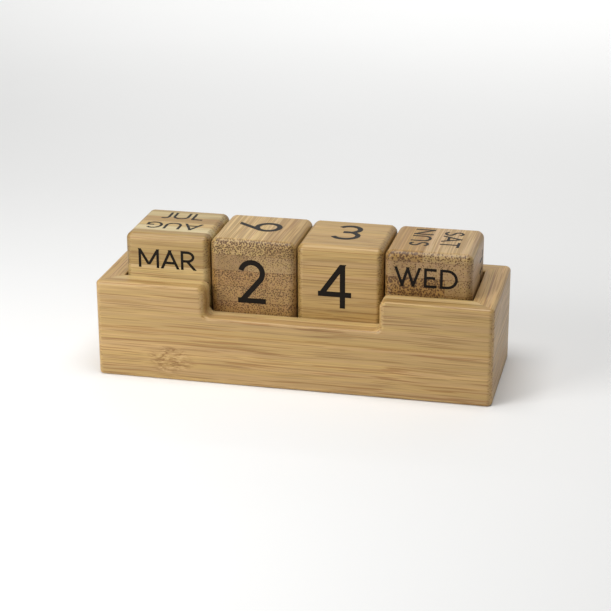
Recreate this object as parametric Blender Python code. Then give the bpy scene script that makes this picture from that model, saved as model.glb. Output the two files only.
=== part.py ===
"""Desk block calendar: a mitred bamboo tray that holds four loose bamboo cubes in one row.

Metres, +Z up. The origin is the centre of the underside. +X runs along the row to the reader's right,
and +Y points away from the reader. The cubes stand in the tray's pocket: the month, two day cubes and
the weekday. Each lifts straight up out of the pocket. A notch in the front board shows the day cubes.
"""

import math

import bmesh
import bpy
from mathutils import Matrix

MM = 0.001

# Driving dimensions
CUBE = 35.0 * MM
CUBE_EDGE_RADIUS = 2.5 * MM
SIDE_GAP = 0.56 * MM        # between neighbouring cubes, and between the end cubes and the end boards
DEPTH_GAP = 0.4 * MM        # in front of the cubes and behind them
BOARD = 9.6 * MM            # thickness of the four boards
TRAY_HEIGHT = 40.6 * MM
SEAT_HEIGHT = 23.5 * MM     # the cubes' undersides
TRAY_EDGE_RADIUS = 1.5 * MM
NOTCH_FLOOR = 27.9 * MM
NOTCH_CORNER_RADIUS = 2.5 * MM
NOTCH_LIP_RADIUS = 2.8 * MM
TOUCH_GAP = 0.3 * MM        # what touches on the real object keeps this much air

CUBE_NAMES = ("month_cube", "day_cube_a", "day_cube_b", "weekday_cube")

# Worked out from the driving dimensions
PITCH = CUBE + SIDE_GAP
POCKET_LENGTH = len(CUBE_NAMES) * PITCH + SIDE_GAP
POCKET_DEPTH = CUBE + 2 * DEPTH_GAP
TRAY_LENGTH = POCKET_LENGTH + 2 * BOARD
TRAY_DEPTH = POCKET_DEPTH + 2 * BOARD
NOTCH_HALF_WIDTH = CUBE + SIDE_GAP

OVERSHOOT = 2.0 * MM        # how far a cutter passes the surface that it cuts
EDGE_SEGMENTS = 3
ARC_STEPS = 6


def linear(hex_colour):
    """A Blender colour from an sRGB hex value."""
    channels = [int(hex_colour[i:i + 2], 16) / 255 for i in (1, 3, 5)]
    return [c / 12.92 if c <= 0.04045 else ((c + 0.055) / 1.055) ** 2.4 for c in channels] + [1.0]


def make_material(name, hex_colour, roughness):
    material = bpy.data.materials.new(name)
    material.use_nodes = True
    shader = material.node_tree.nodes["Principled BSDF"]
    shader.inputs["Base Color"].default_value = linear(hex_colour)
    shader.inputs["Roughness"].default_value = roughness
    shader.inputs["Metallic"].default_value = 0.0
    return material


def add_object(name, bm, material=None):
    """Turns a bmesh into an object of that name."""
    mesh = bpy.data.meshes.new(name)
    bm.normal_update()
    bmesh.ops.recalc_face_normals(bm, faces=bm.faces)
    bm.to_mesh(mesh)
    bm.free()
    obj = bpy.data.objects.new(name, mesh)
    bpy.context.scene.collection.objects.link(obj)
    if material:
        mesh.materials.append(material)
    return obj


def rounded_block(size, centre, radius):
    """A box with every edge rounded."""
    bm = bmesh.new()
    bmesh.ops.create_cube(bm, size=1.0)
    bmesh.ops.scale(bm, vec=size, verts=bm.verts)
    bmesh.ops.translate(bm, vec=centre, verts=bm.verts)
    bmesh.ops.bevel(bm, geom=bm.edges[:], offset=radius, segments=EDGE_SEGMENTS, profile=0.5, affect="EDGES")
    return bm


def prism(outline, direction):
    """A solid pushed along direction from a closed outline of points."""
    bm = bmesh.new()
    face = bm.faces.new([bm.verts.new(point) for point in outline])
    pushed = bmesh.ops.extrude_face_region(bm, geom=[face])["geom"]
    bmesh.ops.translate(bm, vec=direction, verts=[v for v in pushed if isinstance(v, bmesh.types.BMVert)])
    return bm


def make_cutter(name, bm):
    cutter = add_object(name, bm)
    cutter.hide_render = True
    cutter.display_type = "WIRE"
    return cutter


def cut(obj, cutter, operation):
    modifier = obj.modifiers.new(cutter.name, "BOOLEAN")
    modifier.operation = operation
    modifier.solver = "EXACT"
    modifier.object = cutter


def arc(centre_x, centre_z, radius, start_degrees, end_degrees):
    """Points (x, z) along an arc."""
    angles = [math.radians(start_degrees + (end_degrees - start_degrees) * i / ARC_STEPS)
              for i in range(ARC_STEPS + 1)]
    return [(centre_x + radius * math.cos(a), centre_z + radius * math.sin(a)) for a in angles]


def pocket_cutter():
    """The space inside the four boards, open at the top and at the bottom."""
    bm = bmesh.new()
    bmesh.ops.create_cube(bm, size=1.0)
    bmesh.ops.scale(bm, vec=(POCKET_LENGTH, POCKET_DEPTH, TRAY_HEIGHT + 2 * OVERSHOOT), verts=bm.verts)
    bmesh.ops.translate(bm, vec=(0, 0, TRAY_HEIGHT / 2), verts=bm.verts)
    return make_cutter("pocket_cutter", bm)


def notch_cutter():
    """The notch seen from the front: rounded inner corners below, rounded lips at the rim."""
    lip, corner = NOTCH_LIP_RADIUS, NOTCH_CORNER_RADIUS
    right = [(NOTCH_HALF_WIDTH + lip, TRAY_HEIGHT + OVERSHOOT)]
    right += arc(NOTCH_HALF_WIDTH + lip, TRAY_HEIGHT - lip, lip, 90, 180)
    right += arc(NOTCH_HALF_WIDTH - corner, NOTCH_FLOOR + corner, corner, 0, -90)
    left = [(-x, z) for x, z in reversed(right)]
    front = -TRAY_DEPTH / 2 - OVERSHOOT
    outline = [(x, front, z) for x, z in right + left]
    return make_cutter("notch_cutter", prism(outline, (0, BOARD + 2 * OVERSHOOT, 0)))


def board_region(name, length, depth, turn):
    """The wedge of the tray that one board fills, between two 45 degree mitre planes.

    It is drawn for the board at -Y of a tray of that length and depth, and turned about Z.
    """
    half_joint = TOUCH_GAP / 2 * math.sqrt(2)
    outer = length / 2 + OVERSHOOT - half_joint
    inner = length / 2 - BOARD - OVERSHOOT - half_joint
    y_outer = -depth / 2 - OVERSHOOT
    y_inner = -depth / 2 + BOARD + OVERSHOOT
    z = -OVERSHOOT
    outline = [(-outer, y_outer, z), (outer, y_outer, z), (inner, y_inner, z), (-inner, y_inner, z)]
    bm = prism(outline, (0, 0, TRAY_HEIGHT + 2 * OVERSHOOT))
    bmesh.ops.rotate(bm, cent=(0, 0, 0), matrix=Matrix.Rotation(turn, 3, "Z"), verts=bm.verts)
    return make_cutter(name + "_region", bm)


def make_boards(material):
    """Four mitred boards, each cut from the same rounded block."""
    pocket = pocket_cutter()
    boards = {
        "front_board": (TRAY_LENGTH, TRAY_DEPTH, 0.0),
        "right_end_board": (TRAY_DEPTH, TRAY_LENGTH, math.pi / 2),
        "back_board": (TRAY_LENGTH, TRAY_DEPTH, math.pi),
        "left_end_board": (TRAY_DEPTH, TRAY_LENGTH, -math.pi / 2),
    }
    made = {}
    for name, (length, depth, turn) in boards.items():
        block = rounded_block((TRAY_LENGTH, TRAY_DEPTH, TRAY_HEIGHT), (0, 0, TRAY_HEIGHT / 2), TRAY_EDGE_RADIUS)
        board = add_object(name, block, material)
        cut(board, pocket, "DIFFERENCE")
        cut(board, board_region(name, length, depth, turn), "INTERSECT")
        made[name] = board
    cut(made["front_board"], notch_cutter(), "DIFFERENCE")
    return list(made.values())


def make_base_block(material):
    """The solid block that the boards are glued round. The cubes stand on it."""
    height = SEAT_HEIGHT - TOUCH_GAP
    bm = bmesh.new()
    bmesh.ops.create_cube(bm, size=1.0)
    bmesh.ops.scale(bm, vec=(POCKET_LENGTH - 2 * TOUCH_GAP, POCKET_DEPTH - 2 * TOUCH_GAP, height), verts=bm.verts)
    bmesh.ops.translate(bm, vec=(0, 0, height / 2), verts=bm.verts)
    return add_object("base_block", bm, material)


def make_cube(name, index, material):
    """One loose cube, its origin at the middle of its underside, on the line that it lifts along."""
    block = rounded_block((CUBE, CUBE, CUBE), (0, 0, CUBE / 2), CUBE_EDGE_RADIUS)
    cube = add_object(name, block, material)
    cube.location = ((index - (len(CUBE_NAMES) - 1) / 2) * PITCH, 0, SEAT_HEIGHT)
    return cube


def main():
    for obj in list(bpy.data.objects):
        bpy.data.objects.remove(obj)
    tray_bamboo = make_material("tray_bamboo", "#b89663", 0.45)
    core_bamboo = make_material("core_bamboo", "#a98a5c", 0.55)
    cube_bamboo = make_material("cube_bamboo", "#b08e5f", 0.42)

    tray = bpy.data.objects.new("tray", None)
    bpy.context.scene.collection.objects.link(tray)
    for piece in make_boards(tray_bamboo) + [make_base_block(core_bamboo)]:
        piece.parent = tray
    for index, name in enumerate(CUBE_NAMES):
        cube = make_cube(name, index, cube_bamboo)
        cube.parent = tray


main()
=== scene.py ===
"""Looks of the desk block calendar: mitred bamboo tray, four bamboo cubes and their printed figures.

Metres, +Z up. Lengths named _MM are millimetres. Every piece is made at the origin with its place in its mesh.
"""

import math

import bmesh
import bpy
import numpy as np
from mathutils import Matrix, Vector
from mathutils.geometry import delaunay_2d_cdt


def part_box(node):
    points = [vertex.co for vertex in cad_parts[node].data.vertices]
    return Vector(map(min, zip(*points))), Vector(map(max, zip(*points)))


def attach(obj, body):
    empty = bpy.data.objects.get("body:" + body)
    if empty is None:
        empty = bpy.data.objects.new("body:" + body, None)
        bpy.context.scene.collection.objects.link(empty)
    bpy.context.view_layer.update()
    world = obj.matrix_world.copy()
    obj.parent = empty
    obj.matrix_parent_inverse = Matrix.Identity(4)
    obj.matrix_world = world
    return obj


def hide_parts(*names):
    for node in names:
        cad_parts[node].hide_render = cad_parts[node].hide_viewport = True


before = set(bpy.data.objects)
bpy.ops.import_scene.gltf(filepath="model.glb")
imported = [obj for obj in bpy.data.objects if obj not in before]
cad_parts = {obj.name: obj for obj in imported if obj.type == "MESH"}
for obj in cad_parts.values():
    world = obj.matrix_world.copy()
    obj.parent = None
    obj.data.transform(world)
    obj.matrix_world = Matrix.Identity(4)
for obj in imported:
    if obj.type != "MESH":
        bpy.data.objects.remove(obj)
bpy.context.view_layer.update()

MM = 0.001
RIGHT, BACK, UP = (1, 0, 0), (0, 1, 0), (0, 0, 1)


# --- Sizes, from the frame and from the maker's drawing ---------------------------------------------

def size_of(node):
    low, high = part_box(node)
    return (high - low) / MM


def centre_of(node):
    low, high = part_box(node)
    return (high + low) / 2 / MM


TRAY_LENGTH = size_of("base_block").x + 2 * size_of("left_end_board").x + 0.6
TRAY_DEPTH = (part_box("back_board")[1].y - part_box("front_board")[0].y) / MM
TRAY_HEIGHT = size_of("back_board").z
BOARD = size_of("back_board").y
CUBE = size_of("month_cube").x
PITCH = centre_of("day_cube_b").x - centre_of("day_cube_a").x

CORNER_EDGE_MM = 2.4    # the tray's upright outer corners
FOOT_EDGE_MM = 1.2      # its bottom edge
RIM_EDGE_MM = 0.9       # its rim, in front and behind
END_RIM_EDGE_MM = 1.7   # its rim at the corners and at the two ends
WALL_EDGE_MM = 2.3      # the notch's upright edges, which are sanded rounder than the rim
INNER_EDGE_MM = 0.5     # edges towards the pocket
NOTCH_FLOOR_MM = 27.9
NOTCH_CORNER_MM = 2.5
NOTCH_LIP_MM = 2.8
CUBE_EDGE_MM = 2.8
EASE = 1.8              # shape of a sanded edge: 2 is a round one, 1 a flat chamfer
MITRE_SEAM_MM = 0.01    # each side of the glue line
LETTER_CAP_MM = 8.0
DIGIT_CAP_MM = 18.4
INK_FILM_MM = 0.04


# --- Meshes ------------------------------------------------------------------------------------------

def make_object(name, vertices_mm, faces, smooth_angle=35):
    """An object from arrays in millimetres: doubles merged, faces outward, smooth but for sharp corners."""
    mesh = bpy.data.meshes.new(name)
    mesh.from_pydata((np.asarray(vertices_mm) * MM).tolist(), [], faces)
    work = bmesh.new()
    work.from_mesh(mesh)
    bmesh.ops.remove_doubles(work, verts=work.verts, dist=1e-7)
    bmesh.ops.dissolve_degenerate(work, edges=work.edges, dist=1e-7)
    bmesh.ops.recalc_face_normals(work, faces=work.faces)
    work.to_mesh(mesh)
    work.free()
    mesh.shade_smooth()
    mesh.set_sharp_from_angle(angle=math.radians(smooth_angle))
    obj = bpy.data.objects.new(name, mesh)
    bpy.context.scene.collection.objects.link(obj)
    return obj


def grid_faces(rows, columns, wrap_rows=False):
    """Quads of a rows by columns grid of points stored row after row."""
    last = rows if wrap_rows else rows - 1
    i, j = np.meshgrid(np.arange(last), np.arange(columns - 1), indexing="ij")
    k = (i + 1) % rows
    quads = np.stack([i * columns + j, i * columns + j + 1, k * columns + j + 1, k * columns + j], axis=-1)
    return quads.reshape(-1, 4)


def arc_points(centre, radius, start, end, steps):
    """Points round a circle: centre plus radius times (cos a, sin a), with a in degrees."""
    a = np.radians(np.linspace(start, end, steps + 1))
    return np.stack([centre[0] + radius * np.cos(a), centre[1] + radius * np.sin(a)], axis=1)


def eased_quarter(steps):
    """A quarter of the curve |x| to the power EASE plus |y| to the power EASE = 1, from (-1, 0) to (0, -1)."""
    quarter = arc_points((0, 0), 1, 180, 270, steps)
    return np.sign(quarter) * np.abs(quarter) ** (2 / EASE)


def rounded_cube(name, centre_mm, edge):
    """A cube with sanded edges: each point of a cube grid is pulled back to the inner cube whose faces lie one
    edge width in, then pushed out again along the direction it came from, to where the sum of its three
    distances from the inner cube, each divided by the edge width and raised to the power EASE, is 1."""
    half = CUBE / 2
    flat = half - edge
    turn = np.tan(np.radians(np.linspace(0, 45, 9)))
    side = np.concatenate([np.linspace(0, flat - 0.2, 4), flat + edge * turn])
    side = np.concatenate([-side[:0:-1], side])
    a, b = np.meshgrid(side, side, indexing="ij")
    top = np.stack([a, b, np.full_like(a, half)], axis=-1).reshape(-1, 3)
    turns = [np.roll(top * (1, 1, sign), axis, axis=1) for sign in (1, -1) for axis in range(3)]
    points = np.concatenate(turns)
    inner = np.clip(points, -flat, flat)
    away = points - inner
    points = inner + edge * away / (np.abs(away) ** EASE).sum(axis=1, keepdims=True) ** (1 / EASE)
    one = grid_faces(len(side), len(side))
    faces = np.concatenate([one + k * len(top) for k in range(6)])
    return make_object(name, points + np.array(centre_mm), faces.tolist())


def board_profile():
    """A plain board's cross-section as a closed loop of rows.

    A row is (depth behind the outer face, the same per rim radius, share carried by the rim, height above the
    bottom edge, drop below the rim, the same per rim radius).
    """
    foot, inner = FOOT_EDGE_MM, INNER_EDGE_MM
    foot_round = arc_points((foot, foot), foot, 270, 180, 6)
    rim_round = 1 + eased_quarter(9)
    pocket_round = arc_points((BOARD - inner, inner), inner, -90, 0, 4)
    rows = [(BOARD, 0, 0, 0, 0, 0), (BOARD / 2, 0, 0, 0, 0, 0), (foot + 0.2, 0, 0, 0, 0, 0)]
    rows += [(x, 0, 0, y, 0, 0) for x, y in foot_round]
    rows += [(0, 0, share, foot, 0, 1) for share in (0.01, 0.25, 0.5, 0.75, 0.99)]
    rows += [(0, x, 1, 0, 0, y) for x, y in rim_round]
    rows += [(0.2, 1, 1, 0, 0, 0), (BOARD / 2, 0, 1, 0, 0, 0), (BOARD - inner - 0.15, 0, 1, 0, 0, 0)]
    rows += [(x, 0, 1, 0, y, 0) for x, y in pocket_round]
    rows += [(BOARD, 0, share, 0, inner, 0) for share in (0.99, 0.6, 0.3)]
    return np.array(rows)


def rim_line(notched, reach, middle_edge):
    """The rim seen square on, between the mitred ends. Its columns are the points (x, z), the direction out of
    the wood there, the x at the bottom edge that each is joined to, and the radius of the rim's front edge.
    A notch dips into it and out again."""
    straight = np.linspace(-reach, 0, 13)
    if not notched:
        x = np.concatenate([straight, -straight[-2::-1]])
        return (np.stack([x, np.full_like(x, TRAY_HEIGHT)], 1), np.tile((0.0, 1.0), (len(x), 1)), x,
                np.interp(np.abs(x), [reach - 12, reach], [middle_edge, END_RIM_EDGE_MM]))
    half, lip, corner, floor = PITCH, NOTCH_LIP_MM, NOTCH_CORNER_MM, NOTCH_FLOOR_MM
    a = np.radians(np.linspace(0, 90, 9))
    quarter = np.stack([np.sin(a), np.cos(a)], 1)
    lip_line = np.array((-half - lip, TRAY_HEIGHT - lip)) + lip * quarter
    corner_line = np.array((-half + corner, floor + corner)) - corner * quarter[::-1]
    rim_x = np.linspace(-reach, -half - lip - 0.2, 10)
    wall_z = np.linspace(TRAY_HEIGHT - lip - 0.2, floor + corner + 0.2, 5)
    floor_x = np.linspace(-half + corner + 0.2, 0, 8)
    line = np.concatenate([
        np.stack([rim_x, np.full_like(rim_x, TRAY_HEIGHT)], 1), lip_line,
        np.stack([np.full_like(wall_z, -half), wall_z], 1), corner_line,
        np.stack([floor_x, np.full_like(floor_x, floor)], 1)])
    out = np.concatenate([
        np.tile((0.0, 1.0), (len(rim_x), 1)), quarter,
        np.tile((1.0, 0.0), (len(wall_z), 1)), quarter[::-1],
        np.tile((0.0, 1.0), (len(floor_x), 1))])
    # Along the bottom edge the joined points fan out to the left of the notch's wall, so that no lines cross.
    stations = np.cumsum(np.concatenate([[0], np.linalg.norm(np.diff(line, axis=0), axis=1)]))
    at_lip, at_corner = stations[len(rim_x)], stations[-len(floor_x) - len(corner_line)]
    at_floor = stations[-len(floor_x) - 1]
    foot = np.interp(stations, [0, at_lip, at_corner, at_floor, stations[-1]],
                     [-reach, -half - lip - 6, -half - WALL_EDGE_MM, -half + corner, 0])
    edge = np.interp(line[:, 0], [-reach, -reach + 12], [END_RIM_EDGE_MM, middle_edge])
    edge = edge + (WALL_EDGE_MM - edge) * out[:, 0]
    mirror = np.array((-1, 1))
    return (np.concatenate([line, line[-2::-1] * mirror]), np.concatenate([out, out[-2::-1] * mirror]),
            np.concatenate([foot, -foot[-2::-1]]), np.concatenate([edge, edge[-2::-1]]))


def mitred_board(name, length, depth, turn, notched=False):
    """A board of the tray, drawn along X with its outer face at -Y and then turned about Z.

    The profile is carried along the rim line. At each end it meets the 45 degree mitre plane, and the
    outer upright corner is round: there the profile swings 45 degrees about the corner's centre line.
    """
    profile = board_profile()[:, :, None]
    corner, steps = CORNER_EDGE_MM, 6
    reach = length / 2 - 1.5 * BOARD - 1.0
    line, out, foot, edge = rim_line(notched, reach, RIM_EDGE_MM if length > depth else END_RIM_EDGE_MM)
    behind = profile[:, 0] + profile[:, 1] * edge
    share, above = profile[:, 2], profile[:, 3]
    drop = profile[:, 4] + profile[:, 5] * edge
    x = foot * (1 - share) + (line[:, 0] - out[:, 0] * drop) * share
    z = above * (1 - share) + (line[:, 1] - out[:, 1] * drop) * share
    middle = np.stack([x, behind - depth / 2, z], -1)

    behind, drop = behind[:, :1], drop[:, :1]
    swing = np.radians(np.linspace(0, 45, steps + 1))
    settle = np.linspace(1, 0, steps + 1)
    arm = np.maximum(corner - behind, 0)
    past = np.maximum(behind - corner, 0)
    end_x = length / 2 - MITRE_SEAM_MM - corner + arm * np.sin(swing) - past * (1 + 0.5 * settle)
    end_y = -depth / 2 + corner + past - arm * np.cos(swing)
    end_z = np.broadcast_to(above * (1 - share) + (TRAY_HEIGHT - drop) * share, end_x.shape)
    end = np.stack([end_x, end_y, end_z], -1)
    columns = np.concatenate([end[:, ::-1] * (-1, 1, 1), middle, end], axis=1)

    rows, width = columns.shape[:2]
    c, s = math.cos(turn), math.sin(turn)
    points = columns.reshape(-1, 3) @ np.array([[c, -s, 0], [s, c, 0], [0, 0, 1]]).T
    first = np.arange(rows) * width
    faces = grid_faces(rows, width, wrap_rows=True).tolist() + [first.tolist(), (first + width - 1).tolist()]
    return make_object(name, points, faces)


# --- Figures: letters and digits drawn as strokes of one width ---------------------------------------

# A glyph is (width in cap heights, strokes). Strokes are centre lines in a unit square that spans the glyph
# from the middle of its outermost strokes, so the same numbers serve any stroke width.

def bar(u0, v0, u1, v1, caps=(True, True)):
    """A straight stroke whose ends are square."""
    return "bar", np.array([(u0, v0), (u1, v1)], float), caps


def slant(u0, v0, u1, v1):
    """A straight stroke cut level at its ends, as where it meets the base line or the cap line."""
    return "slant", np.array([(u0, v0), (u1, v1)], float), None


def bow(cu, cv, ru, rv, start, end):
    """Part of an ellipse, as centre line points."""
    steps = max(8, int(abs(end - start) / 7))
    return np.array((cu, cv)) + np.array((ru, rv)) * arc_points((0, 0), 1, start, end, steps)


def curve(*parts):
    """Points and bows in a row as one stroke with square-cut ends."""
    return "curve", np.concatenate([np.atleast_2d(np.array(p, float)) for p in parts]), None


def ring(cu, cv, ru, rv):
    return "ring", bow(cu, cv, ru, rv, 0, 360)[:-1], None


def through(points, steps=8):
    """A smooth line through points, by Catmull and Rom's cubic."""
    p = np.array(points, float)
    p = np.concatenate([2 * p[:1] - p[1:2], p, 2 * p[-1:] - p[-2:-1]])
    t = np.linspace(0, 1, steps, endpoint=False)[:, None, None]
    a, b, c, d = p[None, :-3], p[None, 1:-2], p[None, 2:-1], p[None, 3:]
    q = 0.5 * (2 * b + (c - a) * t + (2 * a - 5 * b + 4 * c - d) * t ** 2 + (3 * b - a - 3 * c + d) * t ** 3)
    return np.concatenate([q.transpose(1, 0, 2).reshape(-1, 2), p[-2:-1]])


STEM = bar(0, 0, 0, 1)
FAR_STEM = bar(1, 0, 1, 1)
S_SPINE = ((0.92, 0.84), (0.73, 0.965), (0.48, 1.0), (0.2, 0.93), (0.07, 0.755), (0.2, 0.585), (0.5, 0.5),
           (0.83, 0.4), (0.97, 0.235), (0.82, 0.06), (0.5, 0.0), (0.22, 0.035), (0.01, 0.16))
GLYPHS = {
    "A": (0.975, [slant(0.03, 0, 0.5, 1), slant(0.97, 0, 0.5, 1), bar(0.2, 0.29, 0.8, 0.29)]),
    "B": (0.72, [STEM, curve((0, 1), bow(0.45, 0.77, 0.45, 0.23, 90, -90), (0, 0.54)),
                 curve((0, 0.54), bow(0.5, 0.27, 0.5, 0.27, 90, -90), (0, 0))]),
    "C": (0.82, [curve(bow(0.56, 0.5, 0.56, 0.5, 47, 313))]),
    "D": (0.88, [STEM, curve((0, 1), bow(0.38, 0.5, 0.62, 0.5, 90, -90), (0, 0))]),
    "E": (0.62, [STEM, bar(0, 1, 1, 1), bar(0, 0.51, 0.86, 0.51), bar(0, 0, 1, 0)]),
    "F": (0.58, [STEM, bar(0, 1, 1, 1), bar(0, 0.47, 0.86, 0.47)]),
    "G": (0.86, [curve(bow(0.54, 0.5, 0.54, 0.5, 50, 318)), bar(1, 0.13, 1, 0.44), bar(0.64, 0.44, 1, 0.44)]),
    "H": (0.86, [STEM, FAR_STEM, bar(0, 0.51, 1, 0.51)]),
    "I": (0.138, [STEM]),
    "J": (0.50, [bar(1, 0.28, 1, 1, (False, True)), curve(bow(0.4, 0.28, 0.6, 0.28, 0, -125))]),
    "L": (0.60, [STEM, bar(0, 0, 1, 0)]),
    "M": (1.08, [STEM, FAR_STEM, slant(0.02, 1, 0.5, 0.12), slant(0.98, 1, 0.5, 0.12)]),
    "N": (0.86, [STEM, FAR_STEM, slant(0.03, 1, 0.97, 0)]),
    "O": (1.02, [ring(0.5, 0.5, 0.5, 0.5)]),
    "P": (0.70, [STEM, curve((0, 1), bow(0.45, 0.725, 0.55, 0.275, 90, -90), (0, 0.45))]),
    "R": (0.77, [STEM, curve((0, 1), bow(0.42, 0.73, 0.5, 0.27, 90, -90), (0, 0.46)), slant(0.42, 0.46, 0.97, 0)]),
    "S": (0.62, [curve(through(S_SPINE))]),
    "T": (0.78, [bar(0, 1, 1, 1), bar(0.5, 0, 0.5, 1)]),
    "U": (0.86, [bar(0, 0.37, 0, 1, (False, True)), bar(1, 0.37, 1, 1, (False, True)),
                 curve(bow(0.5, 0.37, 0.5, 0.37, 180, 360))]),
    "V": (0.94, [slant(0.03, 1, 0.5, 0), slant(0.97, 1, 0.5, 0)]),
    "W": (1.34, [slant(0.02, 1, 0.27, 0), slant(0.27, 0, 0.5, 1), slant(0.5, 1, 0.73, 0), slant(0.73, 0, 0.98, 1)]),
    "Y": (0.86, [slant(0.03, 1, 0.5, 0.42), slant(0.97, 1, 0.5, 0.42), bar(0.5, 0, 0.5, 0.42)]),
    "0": (0.68, [ring(0.5, 0.5, 0.5, 0.5)]),
    "1": (0.52, [bar(0.55, 0, 0.55, 1), bar(0.08, 0.78, 0.55, 1, (False, False)), bar(0.05, 0, 1, 0)]),
    "2": (0.63, [curve(bow(0.5, 0.726, 0.474, 0.274, 168, -40), (0.069, 0)), bar(0, 0, 1, 0)]),
    "3": (0.62, [curve(bow(0.49, 0.755, 0.46, 0.245, 152, -90), (0.28, 0.515)),
                 curve((0.28, 0.525), bow(0.46, 0.265, 0.54, 0.265, 90, -158))]),
    "4": (0.735, [bar(0.784, 0, 0.784, 1), bar(0, 0.288, 1, 0.288), slant(0.739, 1, 0.03, 0.288)]),
    "5": (0.60, [bar(0.14, 1, 0.94, 1), bar(0.14, 1, 0.08, 0.55, (False, False)),
                 curve(bow(0.44, 0.31, 0.56, 0.31, 131, -152))]),
    "6": (0.62, [ring(0.5, 0.286, 0.5, 0.286), slant(0.79, 1, 0.079, 0.442)]),
    "7": (0.62, [bar(0, 1, 1, 1), slant(0.95, 1, 0.3, 0)]),
    "8": (0.66, [ring(0.5, 0.765, 0.42, 0.235), ring(0.5, 0.268, 0.5, 0.268)]),
}
SIDE_ROOM = {"A": 0.0, "V": 0.0, "Y": 0.0, "T": 0.02, "W": 0.06, "C": 0.05, "G": 0.05, "O": 0.05, "S": 0.05,
             "J": 0.06}
STRAIGHT_SIDE_ROOM = 0.085
LETTER_STROKE = 0.138
DIGIT_STROKE = 0.118


def ribbon(points, half):
    """The outline of a line given a width: the line shifted half a width to either side."""
    step = np.gradient(points, axis=0)
    step /= np.linalg.norm(step, axis=1, keepdims=True)
    side = np.stack([-step[:, 1], step[:, 0]], axis=1) * half
    return np.concatenate([points + side, (points - side)[::-1]])


def stroke_outlines(stroke, width, half):
    """The closed outlines, in cap heights, that one stroke covers."""
    kind, unit, caps = stroke
    p = half + unit * (width - 2 * half, 1 - 2 * half)
    if kind == "ring":
        closed = np.concatenate([p[-1:], p, p[:1]])
        step = (closed[2:] - closed[:-2])
        step /= np.linalg.norm(step, axis=1, keepdims=True)
        side = np.stack([-step[:, 1], step[:, 0]], axis=1) * half
        outside, inside = p - side, p + side
        turn = np.arange(len(p))
        following = np.roll(turn, -1)
        return [np.array([outside[i], outside[j], inside[j], inside[i]]) for i, j in zip(turn, following)]
    along = p[1] - p[0]
    if kind == "bar":
        along /= np.linalg.norm(along)
        p = p + np.array([-along * caps[0], along * caps[1]]) * half
        side = np.array((-along[1], along[0])) * half
        return [np.array([p[0] + side, p[1] + side, p[1] - side, p[0] - side])]
    if kind == "slant":
        level = np.array((half * math.hypot(*along) / abs(along[1]), 0))
        grow = np.where(np.isin(unit[:, 1], (0, 1)), half, 0) * np.sign(unit[:, 1] - 0.5)
        p = p + (along / along[1]) * grow[:, None]
        return [np.array([p[0] + level, p[1] + level, p[1] - level, p[0] - level])]
    return [ribbon(p, half)]


def word_outlines(word, cap, stroke):
    """Outlines of a word in millimetres, centred left to right, with its base line at 0."""
    outlines, x = [], 0.0
    for place, letter in enumerate(word):
        width, strokes = GLYPHS[letter]
        room = SIDE_ROOM.get(letter, STRAIGHT_SIDE_ROOM)
        x += room if place else 0.0
        for one in strokes:
            outlines += [o + (x, 0) for o in stroke_outlines(one, width, stroke / 2)]
        x += width + (room if place < len(word) - 1 else 0.0)
    return [(o - (x / 2, 0)) * cap for o in outlines]


def turned(outlines, degrees, shift):
    c, s = math.cos(math.radians(degrees)), math.sin(math.radians(degrees))
    matrix = np.array([[c, -s], [s, c]]).T
    return [o @ matrix + shift for o in outlines]


def enclosed_area(outline):
    """Half the sum of each point crossed with the next, which is above 0 for an outline drawn anticlockwise."""
    following = np.roll(outline, -1, axis=0)
    return (outline[:, 0] * following[:, 1] - outline[:, 1] * following[:, 0]).sum() / 2


def flat_union(outlines):
    """The area that overlapping outlines cover together, as one triangle mesh."""
    outlines = [o if enclosed_area(o) > 0 else o[::-1] for o in outlines]
    points = [Vector(p) for o in outlines for p in o]
    ends = np.cumsum([len(o) for o in outlines])
    loops = [list(range(end - len(o), end)) for o, end in zip(outlines, ends)]
    vertices, _, faces, _, _, sources = delaunay_2d_cdt(points, [], loops, 1, 1e-5)
    inside = [f for f, s in zip(faces, sources) if s]
    return np.array([tuple(v) for v in vertices]), np.array(inside)


FACES = {   # the way that a figure's right and its top point on each face
    "front": (RIGHT, UP),
    "back": ((-1, 0, 0), UP),
    "right": (BACK, UP),
    "left": ((0, -1, 0), UP),
    "top": (RIGHT, BACK),
    "under": (RIGHT, (0, -1, 0)),
}


def printed_films(name, centre_mm, prints):
    """Thin closed films of ink on a cube's faces: the figures' flat area, pushed out along the face's normal.

    prints maps a face to (word, cap height, stroke, turn in degrees, shift) rows.
    """
    all_points, all_faces, count = [], [], 0
    for face, rows in prints.items():
        right, up = (np.array(v, float) for v in FACES[face])
        out = np.cross(right, up)
        for word, cap, stroke, degrees, shift in rows:
            outlines = turned(word_outlines(word, cap, stroke), degrees, shift)
            flat, triangles = flat_union(outlines)
            used, triangles = np.unique(triangles, return_inverse=True)
            flat, triangles = flat[used], triangles.reshape(-1, 3)
            ends = np.concatenate([triangles[:, [0, 1]], triangles[:, [1, 2]], triangles[:, [2, 0]]])
            known = {tuple(e) for e in ends.tolist()}
            rim = np.array([e for e in ends.tolist() if (e[1], e[0]) not in known])
            place = np.array(centre_mm) + flat[:, :1] * right + flat[:, 1:] * up
            above = place + out * (CUBE / 2 + INK_FILM_MM)
            below = place + out * (CUBE / 2 - INK_FILM_MM / 2)
            shift_low = count + len(flat)
            all_points += [above, below]
            all_faces += (triangles + count).tolist()
            all_faces += (triangles[:, ::-1] + shift_low).tolist()
            all_faces += [[b + count, a + count, a + shift_low, b + shift_low] for a, b in rim.tolist()]
            count += 2 * len(flat)
    return make_object(name, np.concatenate(all_points), all_faces)


# --- Materials ---------------------------------------------------------------------------------------

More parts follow.
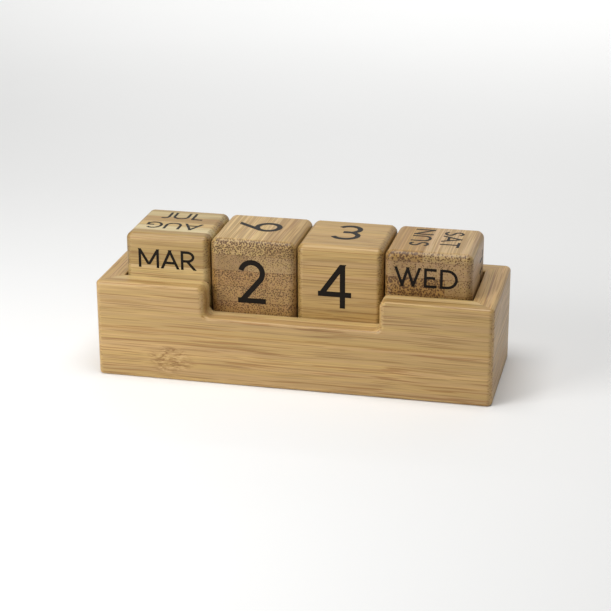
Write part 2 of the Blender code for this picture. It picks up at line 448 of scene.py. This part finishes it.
def linear(hex_colour):
    """A Blender colour from an sRGB hex value."""
    channels = [int(hex_colour[i:i + 2], 16) / 255 for i in (1, 3, 5)]
    return [c / 12.92 if c <= 0.04045 else ((c + 0.055) / 1.055) ** 2.4 for c in channels] + [1.0]


def add_node(tree, kind, settings=None, inputs=None):
    """Adds a node, sets its settings, and sets or links its inputs."""
    node = tree.nodes.new(kind)
    for key, value in (settings or {}).items():
        setattr(node, key, value)
    for key, value in (inputs or {}).items():
        socket = node.inputs[key]
        if isinstance(value, bpy.types.NodeSocket):
            tree.links.new(value, socket)
        else:
            socket.default_value = value
    return node


def new_material(name):
    material = bpy.data.materials.new(name)
    material.use_nodes = True
    tree = material.node_tree
    tree.nodes.clear()
    shader = add_node(tree, "ShaderNodeBsdfPrincipled")
    add_node(tree, "ShaderNodeOutputMaterial", {}, {"Surface": shader.outputs[0]})
    return material, tree, shader


BUNDLE_MM = 0.66        # spacing of the dark fibre bundles
WIDE_BUNDLE_MM = 0.76   # the same, in the older cane that the weekday cube is made of
GLUE_LINE_MM = 0.24
FIBRE_STRETCH = 0.016   # how much slower the pattern changes along the grain
SEAM_RANGE_MM = 40.0    # what a grey of 1 stands for in the table of seams
BUNDLE_BROWN = "#51310e"
LINE_BROWN = "#8d6a3a"
END_GRAIN_TINT = "#dad6c4"
CURL_BROWN = "#8a6434"
SEAM_GOLD = "#ab8442"


def bamboo(name, centre_mm, grain, stack, layers, layer_mm, seam_mm, seed, bundle_mm=BUNDLE_MM, lines=1.0,
           end_share=1.0, stain=0.0, rough=0.42, knuckle=None):
    """Laminated bamboo: planed strips glued face to face, sanded and given a thin satin lacquer.

    It is a solid pattern, so that streaks on a side face end as dots on the end grain. The eye gets pale
    pith with brown fibre bundles, strips of slightly different tone, and hairlines of glue.
    The layers go up the stack, with their middle at seam_mm. Each is two strips side by side:
    (where they meet in mm, left tone, how crowded its bundles are from 0 to 1, right tone, the same).
    """
    material, tree, shader = new_material(name)
    maths, vectors, mix = "ShaderNodeMath", "ShaderNodeVectorMath", "ShaderNodeMix"
    across = Vector(grain).cross(Vector(stack))
    turn = Matrix((grain, stack, across))
    coord = add_node(tree, "ShaderNodeTexCoord")
    place = add_node(tree, "ShaderNodeMapping", {"vector_type": "POINT"}, {
        "Vector": coord.outputs["Object"], "Scale": (1 / MM,) * 3, "Rotation": turn.to_euler(),
        "Location": -(turn @ Vector(centre_mm))}).outputs[0]
    axes = add_node(tree, "ShaderNodeSeparateXYZ", {}, {0: place})

    # Slow waver of the fibres across the grain, about half a millimetre in 50.
    slow = add_node(tree, vectors, {"operation": "MULTIPLY_ADD"}, {
        0: place, 1: (0.02, 0.05, 0.05), 2: (seed, seed * 1.7, 3.1)})
    waver = add_node(tree, "ShaderNodeTexNoise", {}, {"Vector": slow.outputs[0], "Scale": 1.0, "Detail": 1.0})
    waver = add_node(tree, vectors, {"operation": "MULTIPLY_ADD"}, {
        0: waver.outputs["Color"], 1: (0, 2.0, 2.0), 2: (0, -1.0, -1.0)})
    bent = add_node(tree, vectors, {"operation": "ADD"}, {0: place, 1: waver.outputs[0]})
    fibre = add_node(tree, vectors, {"operation": "MULTIPLY_ADD"}, {
        0: bent.outputs[0], 1: (FIBRE_STRETCH, 1, 1), 2: (seed * 7.3, seed * 3.7, 0)}).outputs[0]

    # The table of strips, looked up by the place in the stack and the side of the seam.
    count = len(layers)
    layer = add_node(tree, maths, {"operation": "MULTIPLY_ADD"}, {
        0: axes.outputs["Y"], 1: 1 / layer_mm, 2: count / 2 - seam_mm / layer_mm})
    in_layer = add_node(tree, maths, {"operation": "FRACT"}, {0: layer.outputs[0]})
    in_stack = add_node(tree, maths, {"operation": "DIVIDE"}, {0: layer.outputs[0], 1: count})
    seams = [(seam / SEAM_RANGE_MM + 0.5,) * 3 + (1.0,) for seam, *_ in layers]
    left = [linear(tone)[:3] + [dots] for _, tone, dots, _, _ in layers]
    right = [linear(tone)[:3] + [dots] for _, _, _, tone, dots in layers]
    tables = []
    for colours in (seams, left, right):
        table = add_node(tree, "ShaderNodeValToRGB", {}, {0: in_stack.outputs[0]})
        table.color_ramp.interpolation = "CONSTANT"
        for index, colour in enumerate(colours):
            stop = table.color_ramp.elements[0] if index == 0 else table.color_ramp.elements.new(index / count)
            stop.color = colour
        table.color_ramp.elements.remove(table.color_ramp.elements[-1])
        tables.append(table)
    seam = add_node(tree, maths, {"operation": "MULTIPLY_ADD"}, {
        0: tables[0].outputs[0], 1: SEAM_RANGE_MM, 2: -SEAM_RANGE_MM / 2})
    beyond = add_node(tree, maths, {"operation": "SUBTRACT"}, {0: axes.outputs["Z"], 1: seam.outputs[0]})
    side = add_node(tree, maths, {"operation": "GREATER_THAN"}, {0: beyond.outputs[0], 1: 0.0})
    tone = add_node(tree, mix, {"data_type": "RGBA"}, {
        "Factor": side.outputs[0], 6: tables[1].outputs[0], 7: tables[2].outputs[0]})
    crowded = add_node(tree, mix, {"data_type": "FLOAT"}, {
        "Factor": side.outputs[0], 2: tables[1].outputs[1], 3: tables[2].outputs[1]})

    # Fibre bundles: points under a millimetre apart across the grain, drawn out to threads along it.
    # They are thicker towards one side of each strip, where the skin of the cane was.
    bundles = add_node(tree, "ShaderNodeTexVoronoi", {"voronoi_dimensions": "3D", "feature": "F1"},
                       {"Vector": fibre, "Scale": 1 / bundle_mm, "Randomness": 0.85})
    skin = add_node(tree, maths, {"operation": "MULTIPLY_ADD"}, {0: in_layer.outputs[0], 1: 0.12, 2: 0.12})
    size = add_node(tree, maths, {"operation": "MULTIPLY_ADD"}, {
        0: crowded.outputs[0], 1: 0.32, 2: skin.outputs[0]})
    size_end = add_node(tree, maths, {"operation": "ADD"}, {0: size.outputs[0], 1: 0.09})
    dot = add_node(tree, "ShaderNodeMapRange", {"interpolation_type": "SMOOTHSTEP"}, {
        "Value": bundles.outputs["Distance"], "From Min": size.outputs[0], "From Max": size_end.outputs[0],
        "To Min": 1.0, "To Max": 0.0})

    # How squarely a face cuts the fibres.
    cut = add_node(tree, vectors, {"operation": "DOT_PRODUCT"}, {0: coord.outputs["Normal"], 1: grain})
    cut = add_node(tree, maths, {"operation": "ABSOLUTE"}, {0: cut.outputs["Value"]})
    end_grain = add_node(tree, "ShaderNodeMapRange", {"interpolation_type": "SMOOTHSTEP"}, {
        "Value": cut.outputs[0], "From Min": 0.1, "From Max": 0.75}).outputs[0]

    # Fine threads, broader bands between golden and pinkish, and a few darker lines, all long in the grain.
    threads = add_node(tree, "ShaderNodeTexNoise", {}, {
        "Vector": fibre, "Scale": 2.1, "Detail": 2.0, "Roughness": 0.6}).outputs["Fac"]
    bands = add_node(tree, "ShaderNodeTexNoise", {}, {"Vector": fibre, "Scale": 0.36, "Detail": 2.0})
    hues = add_node(tree, "ShaderNodeTexNoise", {}, {"Vector": bent.outputs[0], "Scale": 0.5, "Detail": 1.0})
    tree.links.new(fibre, hues.inputs["Vector"])
    seldom = add_node(tree, "ShaderNodeTexNoise", {}, {
        "Vector": fibre, "Scale": 1.5, "Detail": 1.0, "Roughness": 0.4})
    hue = add_node(tree, "ShaderNodeMapRange", {}, {
        "Value": hues.outputs["Fac"], "From Min": 0.35, "From Max": 0.65})
    tint = add_node(tree, mix, {"data_type": "RGBA"}, {
        "Factor": hue.outputs[0], 6: linear("#fffef0"), 7: linear("#fffbff")})
    wood = add_node(tree, mix, {"data_type": "RGBA", "blend_type": "MULTIPLY"}, {
        "Factor": 1.0, 6: tone.outputs[2], 7: tint.outputs[2]})
    bright = add_node(tree, maths, {"operation": "MULTIPLY_ADD"}, {0: threads, 1: 0.6 * lines, 2: 1 - 0.30 * lines})
    bright = add_node(tree, maths, {"operation": "MULTIPLY_ADD"}, {
        0: bands.outputs["Fac"], 1: 0.4 * lines, 2: bright.outputs[0]})
    bright = add_node(tree, maths, {"operation": "SUBTRACT"}, {0: bright.outputs[0], 1: 0.2 * lines - 0.05})
    wood = add_node(tree, vectors, {"operation": "SCALE"}, {0: wood.outputs[2], "Scale": bright.outputs[0]})
    seldom = add_node(tree, "ShaderNodeMapRange", {"interpolation_type": "SMOOTHSTEP"}, {
        "Value": seldom.outputs["Fac"], "From Min": 0.58, "From Max": 0.66, "To Max": 0.45 * lines})
    wood = add_node(tree, mix, {"data_type": "RGBA", "blend_type": "MULTIPLY"}, {
        "Factor": seldom.outputs[0], 6: wood.outputs[0], 7: linear("#c09c6a")})

    # End grain drinks more lacquer, so it is darker, and its bundles stand out.
    dark_end = add_node(tree, maths, {"operation": "MULTIPLY"}, {0: end_grain, 1: end_share})
    wood = add_node(tree, mix, {"data_type": "RGBA", "blend_type": "MULTIPLY"}, {
        "Factor": dark_end.outputs[0], 6: wood.outputs[2], 7: linear(END_GRAIN_TINT)})
    brown = add_node(tree, mix, {"data_type": "RGBA"}, {
        "Factor": end_grain, 6: linear(LINE_BROWN), 7: linear(BUNDLE_BROWN)})
    weight = add_node(tree, "ShaderNodeMapRange", {}, {
        "Value": end_grain, "To Min": 0.5 * lines, "To Max": 0.9 * end_share})
    weight = add_node(tree, maths, {"operation": "MULTIPLY"}, {0: dot.outputs[0], 1: weight.outputs[0]})
    wood = add_node(tree, mix, {"data_type": "RGBA"}, {
        "Factor": weight.outputs[0], 6: wood.outputs[2], 7: brown.outputs[2]})

    # Glue hairlines round each strip.
    beyond = add_node(tree, maths, {"operation": "ABSOLUTE"}, {0: beyond.outputs[0]})
    beside = add_node(tree, maths, {"operation": "LESS_THAN"}, {0: beyond.outputs[0], 1: GLUE_LINE_MM / 2})
    middle = add_node(tree, maths, {"operation": "SUBTRACT"}, {0: in_layer.outputs[0], 1: 0.5})
    middle = add_node(tree, maths, {"operation": "ABSOLUTE"}, {0: middle.outputs[0]})
    between = add_node(tree, maths, {"operation": "GREATER_THAN"}, {
        0: middle.outputs[0], 1: 0.5 - GLUE_LINE_MM / 2 / layer_mm})
    glue = add_node(tree, maths, {"operation": "MAXIMUM"}, {0: beside.outputs[0], 1: between.outputs[0]})
    glue = add_node(tree, maths, {"operation": "MULTIPLY"}, {0: glue.outputs[0], 1: 0.6})
    wood = add_node(tree, mix, {"data_type": "RGBA", "blend_type": "MULTIPLY"}, {
        "Factor": glue.outputs[0], 6: wood.outputs[2], 7: linear("#a98556")})
    stained = add_node(tree, "ShaderNodeMapRange", {"interpolation_type": "SMOOTHSTEP"}, {
        "Value": beyond.outputs[0], "From Min": 0.1, "From Max": 1.0, "To Min": stain, "To Max": 0.0})
    wood = add_node(tree, mix, {"data_type": "RGBA"}, {
        "Factor": stained.outputs[0], 6: wood.outputs[2], 7: linear(SEAM_GOLD)})
    colour = wood.outputs[2]
    if knuckle:
        colour = knuckle_mark(tree, place, knuckle, seed, colour)

    tree.links.new(colour, shader.inputs["Base Color"])
    roughness = add_node(tree, "ShaderNodeMapRange", {}, {
        "Value": threads, "From Min": 0.3, "From Max": 0.7, "To Min": rough - 0.05, "To Max": rough + 0.07})
    tree.links.new(roughness.outputs[0], shader.inputs["Roughness"])
    height = add_node(tree, maths, {"operation": "MULTIPLY_ADD"}, {0: dot.outputs[0], 1: -0.6, 2: threads})
    bump = add_node(tree, "ShaderNodeBump", {}, {
        "Strength": 0.6, "Distance": 0.03 * MM, "Height": height.outputs[0]})
    tree.links.new(bump.outputs[0], shader.inputs["Normal"])
    return material


def knuckle_mark(tree, place, oval_mm, seed, colour):
    """The scar of a joint in the cane: in an oval, short curled fibres, some brown and some pale.

    oval_mm is (place along the grain, place across it, half length, half width), from the board's centre.
    """
    maths, vectors, mix = "ShaderNodeMath", "ShaderNodeVectorMath", "ShaderNodeMix"
    along, across, half_length, half_width = oval_mm
    curls_at = add_node(tree, vectors, {"operation": "MULTIPLY_ADD"}, {
        0: place, 1: (0.3, 1.0, 1.25), 2: (seed * 3.3, seed, seed * 2.1)})
    curls = add_node(tree, "ShaderNodeTexNoise", {}, {
        "Vector": curls_at.outputs[0], "Scale": 0.8, "Detail": 2.0, "Roughness": 0.6, "Distortion": 1.0})
    ragged = add_node(tree, "ShaderNodeTexNoise", {}, {"Vector": curls_at.outputs[0], "Scale": 0.3})
    away = add_node(tree, vectors, {"operation": "MULTIPLY_ADD"}, {
        0: place, 1: (1 / half_length, 0, 1 / half_width), 2: (-along / half_length, 0, -across / half_width)})
    away = add_node(tree, vectors, {"operation": "LENGTH"}, {0: away.outputs[0]})
    away = add_node(tree, maths, {"operation": "MULTIPLY_ADD"}, {
        0: ragged.outputs["Fac"], 1: 0.9, 2: away.outputs["Value"]})
    inside = add_node(tree, "ShaderNodeMapRange", {"interpolation_type": "SMOOTHSTEP"}, {
        "Value": away.outputs[0], "From Min": 1.0, "From Max": 1.75, "To Min": 1.0, "To Max": 0.0})
    for low, high, strength, tone in ((0.0, 0.1, 0.2, CURL_BROWN), (0.5, 0.58, 0.8, CURL_BROWN), (0.46, 0.36, 0.5, "#d3b27c")):
        marks = add_node(tree, "ShaderNodeMapRange", {"interpolation_type": "SMOOTHSTEP"}, {
            "Value": curls.outputs["Fac"], "From Min": low, "From Max": high, "To Max": strength})
        marks = add_node(tree, maths, {"operation": "MULTIPLY"}, {0: marks.outputs[0], 1: inside.outputs[0]})
        colour = add_node(tree, mix, {"data_type": "RGBA"}, {
            "Factor": marks.outputs[0], 6: colour, 7: linear(tone)}).outputs[2]
    return colour


def black_ink(name):
    """Black screen-printing ink on lacquered wood: a smooth thin film that keeps a soft shine."""
    material, tree, shader = new_material(name)
    coord = add_node(tree, "ShaderNodeTexCoord")
    specks = add_node(tree, "ShaderNodeTexNoise", {}, {
        "Vector": coord.outputs["Object"], "Scale": 1 / (0.5 * MM), "Detail": 3.0})
    tone = add_node(tree, "ShaderNodeMix", {"data_type": "RGBA"}, {
        "Factor": specks.outputs["Fac"], 6: linear("#110c06"), 7: linear("#1f1810")})
    tree.links.new(tone.outputs[2], shader.inputs["Base Color"])
    roughness = add_node(tree, "ShaderNodeMapRange", {}, {
        "Value": specks.outputs["Fac"], "From Min": 0.3, "From Max": 0.7, "To Min": 0.34, "To Max": 0.44})
    tree.links.new(roughness.outputs[0], shader.inputs["Roughness"])
    bump = add_node(tree, "ShaderNodeBump", {}, {
        "Strength": 0.3, "Distance": 0.01 * MM, "Height": specks.outputs["Fac"]})
    tree.links.new(bump.outputs[0], shader.inputs["Normal"])
    shader.inputs["Specular IOR Level"].default_value = 0.12
    return material


def pale_floor(name):
    """Matt white paper sweep."""
    material, tree, shader = new_material(name)
    coord = add_node(tree, "ShaderNodeTexCoord")
    cloud = add_node(tree, "ShaderNodeTexNoise", {}, {"Vector": coord.outputs["Object"], "Scale": 6.0})
    tone = add_node(tree, "ShaderNodeMix", {"data_type": "RGBA"}, {
        "Factor": cloud.outputs["Fac"], 6: linear("#f1f1f0"), 7: linear("#f4f4f3")})
    tree.links.new(tone.outputs[2], shader.inputs["Base Color"])
    shader.inputs["Roughness"].default_value = 0.8
    return material


# --- The tray ----------------------------------------------------------------------------------------

BOARD_LAYER_MM = 5.0    # two strips through the thickness of a board, planed a little thinner
BOARDS = {
    # node: length, depth, turn, grain, stack, seed, strips, knuckle
    "front_board": (TRAY_LENGTH, TRAY_DEPTH, 0.0, RIGHT, BACK, 1.0, [
        (0.9, "#b69662", 0.35, "#b29360", 0.35), (4.0, "#bfa06d", 0.3, "#c1a775", 0.25)],
        (-50.2, -11.8, 8.5, 6.0)),
    "right_end_board": (TRAY_DEPTH, TRAY_LENGTH, math.pi / 2, BACK, RIGHT, 2.0, [
        (-6.0, "#ba9965", 0.3, "#ba9863", 0.3), (3.0, "#bd9c69", 0.3, "#bb9a66", 0.3)], None),
    "back_board": (TRAY_LENGTH, TRAY_DEPTH, math.pi, RIGHT, BACK, 3.0, [
        (3.0, "#b69662", 0.3, "#ba9a65", 0.3), (-2.0, "#b49461", 0.3, "#b89966", 0.35)],
        (31.0, 9.0, 7.0, 5.5)),
    "left_end_board": (TRAY_DEPTH, TRAY_LENGTH, -math.pi / 2, BACK, RIGHT, 4.0, [
        (5.0, "#b59563", 0.35, "#b99966", 0.3), (-4.0, "#b69765", 0.3, "#b59664", 0.3)], None),
}
BASE_LAYERS = [(4.0, "#b8945f", 0.4, "#c09c68", 0.4), (-6.0, "#b38e59", 0.5, "#bb9763", 0.3),
               (2.0, "#bf9d6a", 0.3, "#b6925d", 0.4), (9.0, "#b9955f", 0.4, "#bd9a66", 0.4)]


def build_tray():
    for node, (length, depth, turn, grain, stack, seed, layers, knuckle) in BOARDS.items():
        board = mitred_board(node + "_planed", length, depth, turn, notched=node == "front_board")
        # No square end grain shows on a mitred board, so its share is 0 and the round corners stay plain.
        board.data.materials.append(bamboo(
            node + "_bamboo_lacquered", centre_of(node), grain, stack, layers, BOARD_LAYER_MM, 0.0, seed,
            lines=1.25, end_share=0.0, stain=0.45, knuckle=knuckle))
        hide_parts(node)
        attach(board, "tray")
    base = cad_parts["base_block"]
    base.data.materials.clear()
    base.data.materials.append(bamboo(
        "base_block_bamboo_planed", centre_of("base_block"), RIGHT, UP, BASE_LAYERS, 6.0, 0.0, 5.0, rough=0.55))


# --- The cubes ---------------------------------------------------------------------------------------

WORD_RISE_MM = 3.3      # base line of a word above the face's middle


def word(text, turn=0, along=0.0, rise=WORD_RISE_MM):
    """One month or weekday on the half of the face that the turn points its top at."""
    a = math.radians(turn)
    shift = np.array((-math.sin(a), math.cos(a))) * rise + np.array((math.cos(a), math.sin(a))) * along
    return text, LETTER_CAP_MM, LETTER_STROKE, turn, shift


def digit(text, turn=0, shift=(0.0, 0.0)):
    """One big digit, centred on the face but for the printer's small misplacement."""
    a = math.radians(turn)
    centred = np.array((math.sin(a), -math.cos(a))) * DIGIT_CAP_MM / 2
    return text, DIGIT_CAP_MM, DIGIT_STROKE, turn, centred + shift


CUBES = {
    # node: body, grain, stack, strip thickness, place of the stack's middle, seed, strips, figures
    "month_cube": ("month", RIGHT, BACK, 6.1, 0.65, 21.0, [
        (4.5, "#c7ae7c", 0.2, "#a88c59", 0.45), (-5.0, "#c9b78b", 0.1, "#cdbc92", 0.1),
        (5.0, "#bd9e69", 0.3, "#c0a46f", 0.3), (-1.0, "#a78854", 0.5, "#aa8b58", 0.5),
        (3.0, "#bba87d", 0.1, "#baa77c", 0.2), (-6.0, "#ad9668", 0.2, "#aa9265", 0.2)], {
        "front": [word("MAR"), word("APR", 180)],
        "top": [word("JUL", 0, -0.4, 4.3), word("AUG", 180, 0.6, 1.0)],
        "right": [word("MAY", 90), word("JUN", 270)],
        "back": [word("SEP"), word("OCT", 180)],
        "left": [word("NOV", 270), word("DEC", 90)],
        "under": [word("JAN"), word("FEB", 180)],
    }),
    "day_cube_a": ("day_a", BACK, UP, 6.6, 4.6, 12.0, [
        (3.0, "#c19a68", 0.5, "#bb9766", 0.5), (-4.0, "#c29d69", 0.45, "#ba9765", 0.5),
        (6.0, "#b9925f", 0.6, "#be9a69", 0.5), (-2.0, "#ab8c63", 0.15, "#bfa175", 0.3),
        (5.5, "#cbae7c", 0.85, "#b99a67", 0.8), (5.5, "#c3a578", 0.9, "#b69565", 0.8)], {
        "front": [digit("2", 0, (-0.3, 0.4))],
        "top": [digit("6", 90, (-1.3, 1.5))],
        "right": [digit("7", 0)],
        "back": [digit("0", 0)],
        "left": [digit("8", 0)],
        "under": [digit("1", 0)],
    }),
    "day_cube_b": ("day_b", RIGHT, UP, 6.2, 3.0, 13.0, [
        (3.0, "#b09059", 0.3, "#b1925c", 0.3), (-4.0, "#b09059", 0.3, "#b2935d", 0.3),
        (6.0, "#b2925c", 0.3, "#b09159", 0.3), (-2.0, "#b3945e", 0.3, "#b4945f", 0.25),
        (5.0, "#b79863", 0.25, "#b49560", 0.3), (5.0, "#b79863", 0.25, "#b49560", 0.3)], {
        "front": [digit("4", 0, (-1.9, 1.1))],
        "top": [digit("3", 0, (-0.3, 1.6))],
        "right": [digit("5", 90)],
        "back": [digit("1", 0)],
        "left": [digit("2", 270)],
        "under": [digit("0", 0)],
    }),
    "weekday_cube": ("weekday", BACK, UP, 6.6, 0.4, 14.0, [
        (3.0, "#a98350", 0.6, "#ac8754", 0.5), (-4.0, "#b08a5a", 0.45, "#b08c5a", 0.5),
        (4.0, "#b08b58", 0.6, "#b08e5e", 0.3), (6.5, "#bc955c", 1.0, "#ba9b6f", 0.25),
        (-5.0, "#b09067", 0.2, "#be9e77", 0.2), (-2.5, "#b18e5a", 1.0, "#c0a377", 0.65)], {
        "front": [word("WED", 0, -0.9)],
        "top": [word("SUN", 90, 1.8, 1.7), word("SAT", 270, -1.5, 2.4)],
        "right": [word("THU", 270)],
        "back": [word("FRI")],
        "left": [word("TUE", 90)],
        "under": [word("MON")],
    }),
}


def build_cubes():
    ink = black_ink("black_printing_ink")
    for node, (body, grain, stack, thickness, middle, seed, layers, prints) in CUBES.items():
        centre = centre_of(node)
        cube = rounded_cube(node + "_sanded", centre, CUBE_EDGE_MM)
        cube.data.materials.append(bamboo(
            node + "_bamboo_lacquered", centre, grain, stack, layers, thickness, middle, seed,
            bundle_mm=WIDE_BUNDLE_MM if body == "weekday" else BUNDLE_MM))
        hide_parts(node)
        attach(cube, body)
        films = printed_films(node + "_print", centre, prints)
        films.data.materials.append(ink)
        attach(films, body)


# --- Floor, light and camera -------------------------------------------------------------------------

def build_floor():
    mesh = bpy.data.meshes.new("floor")
    side = 6.0
    mesh.from_pydata([(-side, -side, 0), (side, -side, 0), (side, side, 0), (-side, side, 0)], [], [(0, 1, 2, 3)])
    floor = bpy.data.objects.new("floor", mesh)
    bpy.context.scene.collection.objects.link(floor)
    mesh.materials.append(pale_floor("white_paper_sweep"))


def add_softbox(name, place, aim, width, height, power, colour="#ffffff"):
    data = bpy.data.lights.new(name, "AREA")
    data.shape = "RECTANGLE"
    data.size, data.size_y = width, height
    data.energy = power
    data.color = linear(colour)[:3]
    lamp = bpy.data.objects.new(name, data)
    lamp.location = place
    lamp.rotation_euler = (Vector(aim) - Vector(place)).to_track_quat("-Z", "Y").to_euler()
    bpy.context.scene.collection.objects.link(lamp)
    return lamp


def build_light():
    world = bpy.data.worlds.new("studio")
    world.use_nodes = True
    background = world.node_tree.nodes["Background"]
    background.inputs["Color"].default_value = linear("#ffffff")
    background.inputs["Strength"].default_value = 0.12
    bpy.context.scene.world = world
    add_softbox("key_softbox", (-0.32, -0.34, 0.235), (-0.02, 0, 0.03), 0.28, 0.24, 1.6)
    add_softbox("top_softbox", (0.0, -0.10, 0.75), (0, 0, 0.03), 0.6, 0.4, 4.1)
    add_softbox("back_softbox", (0.0, 1.2, 0.42), (0, 0, 0.25), 1.8, 0.7, 2.4)
    add_softbox("floor_wash", (0.0, 0.75, 0.7), (0, 1.25, 0), 1.4, 0.4, 6.5)


CAMERA_AZIMUTH = 12.907
CAMERA_ELEVATION = 20.447
CAMERA_ROLL = -0.193
CAMERA_DISTANCE = 0.74849
CAMERA_AIM = Vector((0.0, -0.00045, 0.0))
CAMERA_SLIDE = (0.000116, 0.024801)     # to the camera's right, and up
FOCAL_MM = 1800 / 611 * 36


def build_camera():
    a, e = math.radians(CAMERA_AZIMUTH), math.radians(CAMERA_ELEVATION)
    back = Vector((math.sin(a) * math.cos(e), -math.cos(a) * math.cos(e), math.sin(e)))
    right = (-back).cross(Vector(UP)).normalized()
    up = right.cross(-back)
    data = bpy.data.cameras.new("camera")
    data.lens, data.sensor_width, data.sensor_fit = FOCAL_MM, 36.0, "HORIZONTAL"
    data.clip_start, data.clip_end = 0.05, 20.0
    camera = bpy.data.objects.new("camera", data)
    turn = Matrix((right, up, back)).transposed() @ Matrix.Rotation(math.radians(CAMERA_ROLL), 3, "Z")
    place = CAMERA_AIM + back * CAMERA_DISTANCE + right * CAMERA_SLIDE[0] + up * CAMERA_SLIDE[1]
    camera.matrix_world = Matrix.LocRotScale(place, turn.to_quaternion(), None)
    bpy.context.scene.collection.objects.link(camera)
    bpy.context.scene.camera = camera


build_camera()
build_floor()
build_light()
build_tray()
build_cubes()
bpy.context.scene.view_settings.view_transform = "Standard"
